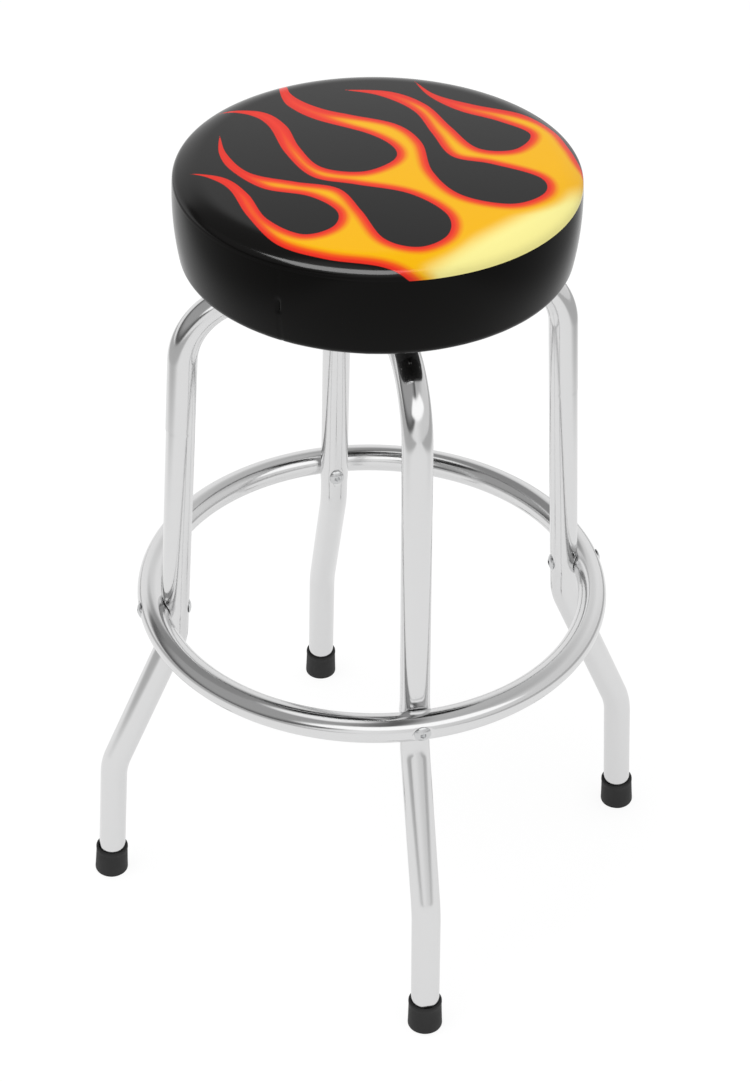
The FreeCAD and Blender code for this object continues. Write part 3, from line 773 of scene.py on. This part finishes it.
def smooth_line(points, per_span=14):
    """A curve through chosen points.

    Between two of them it is a cubic, and its slope at each is half the line from the point
    before to the point after.
    """
    p = np.array(points, float)
    p = np.vstack([2 * p[0] - p[1], p, 2 * p[-1] - p[-2]])
    t = np.linspace(0, 1, per_span, endpoint=False)[None, :, None]
    a, b, c, d = (p[n : len(p) - 3 + n, None] for n in range(4))
    squared = a - 2.5 * b + 2 * c - d / 2
    cubed = 1.5 * (b - c) + (d - a) / 2
    return (b + t * (c - a) / 2 + t**2 * squared + t**3 * cubed).reshape(-1, 2)


def depth_in_outline(points, outline):
    """Distance of each point to a closed outline, positive inside and negative outside.

    A point is inside if a ray to its right crosses the outline an odd number of times.
    """
    ends = np.roll(outline, -1, axis=0)
    depth = np.full(len(points), np.inf)
    inside = np.zeros(len(points), bool)
    for start, end in zip(outline, ends):
        edge = end - start
        offset = points - start
        share = np.clip(offset @ edge / (edge @ edge), 0, 1)
        depth = np.minimum(depth, np.linalg.norm(offset - share[:, None] * edge, axis=1))
        spans = (start[1] > points[:, 1]) != (end[1] > points[:, 1])
        if edge[1] != 0:
            crossing = start[0] + (points[:, 1] - start[1]) * edge[0] / edge[1]
            inside ^= spans & (points[:, 0] < crossing)
    return np.where(inside, depth, -depth)


def vinyl_pores(finish):
    """The fine grain of the vinyl, as the normal of a finish."""
    grain = finish.node(
        "ShaderNodeTexVoronoi",
        {"feature": "SMOOTH_F1"},
        {"Vector": finish.place(), "Scale": 900.0},
    )
    sockets = {"Height": grain, "Distance": 0.03 * MM, "Strength": 0.25}
    return finish.node("ShaderNodeBump", {}, sockets)


top_run = np.concatenate([
    np.linspace(1.0, seam_run - 6, TOP_ROWS),
    seam_run - SEAM_STEPS[::-1],
])
inner_run = np.linspace(seam_run, 4.0, 14)
outer = around_seat(top_run, seam_roll(top_run), TOP_SIDES)
inner = around_seat(inner_run, VINYL + seam_roll(inner_run), TOP_SIDES)
panel_grid = np.concatenate([outer, inner])
top_panel = solid("printed_top_panel", [panel_grid], "seat", sharp=60)

# Where each point of the panel lies while it is flat, with the two fans' middles last.
angle = np.linspace(0, 2 * np.pi, TOP_SIDES, endpoint=False)
flat_run = np.concatenate([top_run, inner_run])[:, None]
flat = np.stack([flat_run * np.cos(angle), flat_run * np.sin(angle)], axis=-1).reshape(-1, 2)
flat = np.vstack([flat, np.zeros((2, 2))])

# Depth inside the outline, distance towards the root, and how far out along the licks.
outline = np.vstack([smooth_line(stretch) for stretch in FLAME_STRETCHES] + [PAST_THE_RIM])
depth = depth_in_outline(flat, outline)
root = flat @ ROOT_WAY
reach = np.maximum(np.linalg.norm(flat - ROOT, axis=1), flat @ BACK_WAY)
for name, values in (("flame_depth", depth), ("flame_root", root), ("flame_reach", reach)):
    attribute = top_panel.data.attributes.new(name, "FLOAT", "POINT")
    attribute.data.foreach_set("value", values.astype(np.float32))

printed = Finish("printed vinyl", Specular_IOR_Level=0.2)
deep, rootward, licks = (
    printed.node("ShaderNodeAttribute", {"attribute_name": name}, output=2)
    for name in ("flame_depth", "flame_root", "flame_reach")
)

# Red at the outline turns to gold further in. Far out along the licks that takes more depth, so
# that they end in red.
red_to_gold = printed.ramp(
    deep / OUTLINE_DEPTH * printed.step(licks, LICKS_START, LICKS_FULL, 1.0, LICKS_SHARE),
    (0.0, "#e02c20"),
    (0.17, "#ee3826"),
    (0.34, "#f2601c"),
    (0.47, "#f59414"),
    (0.66, "#f8ba0c"),
)
pale = printed.step(rootward, PALE_START, PALE_FULL) * printed.step(deep, 8.0, 20.0)
flame_colour = printed.mix(pale, red_to_gold, PALE_YELLOW)

# Ink is less glossy than the bare black ground, and so is the edge drawn down to the seam.
pores = vinyl_pores(printed)
inked = printed.step(deep, -0.3, 0.3)
printed.set(Base_Color=BLACK_GROUND, Roughness=0.15, Normal=pores)
less_glossy = printed.node(
    "ShaderNodeBsdfPrincipled",
    {},
    {
        "Base Color": printed.mix(inked, BLACK_GROUND, flame_colour),
        "Roughness": 0.15,
        "Specular IOR Level": 0.09,
        "Normal": pores,
    },
)
drawn_down = printed.step(printed.place_along(2), DULL_START, DULL_FULL)
printed.blend(inked.maths("MAXIMUM", inked, drawn_down), less_glossy)
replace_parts(printed.on(top_panel), "cover_top_panel")


# Side band. Black vinyl from the seam down and under the board, its ends joined by one upright
# seam. It is gathered into small pleats where it is drawn in under the seat.

BAND_SIDES = 560
BAND_ROWS = 84
JOIN_BEARING = math.radians(-129)
JOIN_DEPTH = 0.3
JOIN_WIDTH = 0.9
PUCKER_DEPTH = 1.5
PUCKER_WIDTH = 1.2
PUCKER_LENGTH = 6.0
PUCKER_RUN = 33
PLEAT_HEIGHT = 1.3

band_run = np.concatenate([
    seam_run + SEAM_STEPS,
    np.linspace(seam_run + 6.5, run[-1], BAND_ROWS),
])
around = JOIN_BEARING + np.linspace(-np.pi, np.pi, BAND_SIDES, endpoint=False)
from_join = (around - JOIN_BEARING + np.pi) % (2 * np.pi) - np.pi
heel_run = np.interp(-(SEAT_BOTTOM + BOTTOM_ROUND), -profile[:, 1], run)


def pleats(distance, angle):
    """Folds under the seat: waves of uneven width that grow from the heel to the cut edge."""
    grown = np.clip((distance - heel_run - 4) / (run[-1] - heel_run - 4), 0, 1) ** 1.3
    phase = 46 * angle + 1.7 * np.sin(5 * angle + 1) + 1.1 * np.sin(11 * angle)
    return grown * np.maximum(0, np.sin(phase)) ** 2 * (1 + 0.4 * np.sin(7 * angle + 2))


def band_surface(distance, thickness):
    """The profile turned round, with seam roll, join, pucker and pleats worked into it.

    The upright join is a groove that follows a bell curve of the distance from it, and the pucker
    is a deeper one at one height. The pleats stand down from the underside.
    """
    rows = distance[:, None]
    aside = from_join * SEAT_RADIUS
    below = rows - seam_run
    groove = JOIN_DEPTH * np.exp(-((aside / JOIN_WIDTH) ** 2))
    pucker = -((aside / PUCKER_WIDTH) ** 2) - ((below - PUCKER_RUN) / PUCKER_LENGTH) ** 4
    joined = (groove + PUCKER_DEPTH * np.exp(pucker)) * np.clip(below / 4, 0, 1)
    inset = thickness + seam_roll(rows) + joined - PLEAT_HEIGHT * pleats(rows, around)
    radius, height = at_run(rows + 0 * around, inset)
    return np.stack([radius * np.cos(around), radius * np.sin(around), height], axis=-1) * MM


band_outer = band_surface(band_run, 0.0)
band_inner = band_surface(np.linspace(run[-1], seam_run, 30), VINYL)
band_grid = np.concatenate([band_outer, band_inner, band_outer[:1]])
side_band = solid("side_band_vinyl", [band_grid], "seat", sharp=60)
black_vinyl = Finish("black vinyl", Base_Color=(0.0024, 0.0022, 0.0019, 1), Roughness=0.16)
black_vinyl.set(Specular_IOR_Level=0.09, Normal=vinyl_pores(black_vinyl))
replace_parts(black_vinyl.on(side_band), "cover_side_band")
zinc.on(nodes["cover_staples"])


# Studio. A pale floor that runs into a pale surround, soft light from above, and a camera where
# the photograph was taken from.

FLOOR_HALF = 4.0
corners = [(x * FLOOR_HALF, y * FLOOR_HALF, 0) for x, y in ((-1, -1), (1, -1), (1, 1), (-1, 1))]
floor_mesh = bpy.data.meshes.new("floor")
floor_mesh.from_pydata(corners, [], [(0, 1, 2, 3)])
floor = bpy.data.objects.new("floor", floor_mesh)
bpy.context.scene.collection.objects.link(floor)

# To the camera and in mirrors the floor is partly a light of its own, and for the rest paper
# that takes shadows. Mirrors see it dimmer far out to the sides.
paper = Finish("pale floor", Roughness=0.9, Specular_IOR_Level=0.0)
seen = paper.seen()
mirrored = paper.mirrored()
sideways = paper.place_along(0)
beyond = mirrored * paper.step(sideways.maths("ABSOLUTE", sideways), 0.8, 1.3)
paper.set(Base_Color=paper.mix(beyond, (0.9, 0.9, 0.9, 1), (0.5, 0.5, 0.5, 1)))
strength = 1.0 + 0.094 * seen - 0.45 * beyond
glow = paper.node("ShaderNodeEmission", {}, {"Strength": strength})
paper.blend(seen * 0.8 + mirrored * 0.6, glow)
paper.on(floor)

# What shows in the chrome and the gloss: a pale surround, dimmer overhead and to the right, a
# dark room to the left, a window in front and, overhead, the glow of the softbox.
ROOM = Vector((-0.696, -0.123, 0.707))
ROOM_REAR = Vector((-0.265, 0.459, 0.848))
RIGHT_SIDE = Vector((0.866, -0.5, 0))
FRONT = Vector((0.139, -0.99, 0))
GLOW = Vector((-0.21, -0.03, 0.977))
ROOM_REAR_LEVEL = 0.28
WINDOW_LEVEL = 1.25
GLOW_LEVEL = 1.05
AMBIENT = 0.74


def cosine(degrees):
    return math.cos(math.radians(degrees))


surround = Finish("surround", bpy.data.worlds.new("surround"))
bpy.context.scene.world = surround.material
way = surround.node("ShaderNodeTexCoord", output=0)
climb = surround.node("ShaderNodeSeparateXYZ", {}, {0: way}, output=2)


def towards(direction):
    """The cosine of the angle between the way looked and a direction."""
    sockets = {0: way, 1: direction}
    return surround.node("ShaderNodeVectorMath", {"operation": "DOT_PRODUCT"}, sockets, output=1)


def mixed(share, first, second):
    """The first level, changed to the second by the given share."""
    return first + share * (second - first)


level = surround.step(climb, 0.45, 0.85, 0.9, 0.55)
level = level * surround.step(towards(RIGHT_SIDE), 0.2, 0.9, 1.0, 0.82)
room = surround.step(towards(ROOM), cosine(50), cosine(30), 0.1, 0.38)
level = mixed(surround.step(towards(ROOM), cosine(59), cosine(50)), level, room)
rear = surround.step(towards(ROOM_REAR), cosine(30), cosine(18))
level = mixed(rear, level, ROOM_REAR_LEVEL)
window = surround.step(climb, 0.3, 0.4) * surround.step(climb, 0.7, 0.78, 1.0, 0.0)
window = window * surround.step(towards(FRONT), 0.5, 0.62)
level = mixed(window, level, WINDOW_LEVEL)
level = mixed(surround.step(towards(GLOW), cosine(16), cosine(8)), level, GLOW_LEVEL)

# Only mirrors see that pattern. What lights the stool is one even level, and the camera sees
# white.
lit = mixed(surround.mirrored(), AMBIENT, level)
surround.set(Strength=mixed(surround.seen(), lit, 1.0), Color=(1, 1, 1, 1))


def aimed(place, target, along):
    """A frame at a place that looks at its target, with its X axis as near as can be to along."""
    back = (Vector(place) - Vector(target)).normalized()
    up = back.cross(Vector(along)).normalized()
    axes = Matrix((up.cross(back), up, back)).transposed()
    return Matrix.Translation(place) @ axes.to_4x4()


def softbox(name, place, target, along, size, power):
    """A lamp the size of a softbox, whose long side lies along the given direction."""
    lamp = bpy.data.lights.new(name, "AREA")
    lamp.shape = "RECTANGLE"
    lamp.size, lamp.size_y = size
    lamp.energy = power
    holder = bpy.data.objects.new(name, lamp)
    bpy.context.scene.collection.objects.link(holder)
    holder.matrix_world = aimed(place, target, along)
    return holder


# The softbox shines on the cover alone, as the glow above stands for it in the chrome.
SOFTBOX = (-0.89, -1.2)
gloss_light = softbox(
    "softbox_on_cover",
    place=(*SOFTBOX, 2.43),
    target=(*SOFTBOX, 0),
    along=(0.925, -0.38, 0),
    size=(2.21, 1.8),
    power=174,
)
gloss_light.visible_diffuse = False
cover_only = bpy.data.collections.new("cover_only")
for piece in (top_panel, side_band):
    cover_only.objects.link(piece)
gloss_light.light_linking.receiver_collection = cover_only
fill_light = softbox(
    "overhead",
    place=(-0.5, -0.1, 2.6),
    target=(0, 0, 0.5),
    along=(1, 0, 0),
    size=(0.9, 0.9),
    power=12,
)
fill_light.visible_glossy = False

# The camera, whose place, lens and roll were fitted to the photograph.
AZIMUTH, ELEVATION, ROLL = (math.radians(v) for v in (-12.22, 36.79, 0.85))
DISTANCE = 2.2098
TARGET_HEIGHT = 0.35695
TARGET_ASIDE = 0.00216
right = Vector((math.cos(AZIMUTH), math.sin(AZIMUTH), 0))
back = Matrix.Rotation(-ELEVATION, 3, right) @ right.cross(Vector((0, 0, 1)))
target = Vector((0, 0, TARGET_HEIGHT)) + right * TARGET_ASIDE
camera = bpy.data.objects.new("camera", bpy.data.cameras.new("camera"))
bpy.context.scene.collection.objects.link(camera)
camera.data.lens = 81.9
camera.data.sensor_width = 36.0
camera.matrix_world = aimed(target + back * DISTANCE, target, right) @ Matrix.Rotation(ROLL, 4, "Z")
bpy.context.scene.camera = camera
bpy.context.scene.view_settings.view_transform = "Standard"
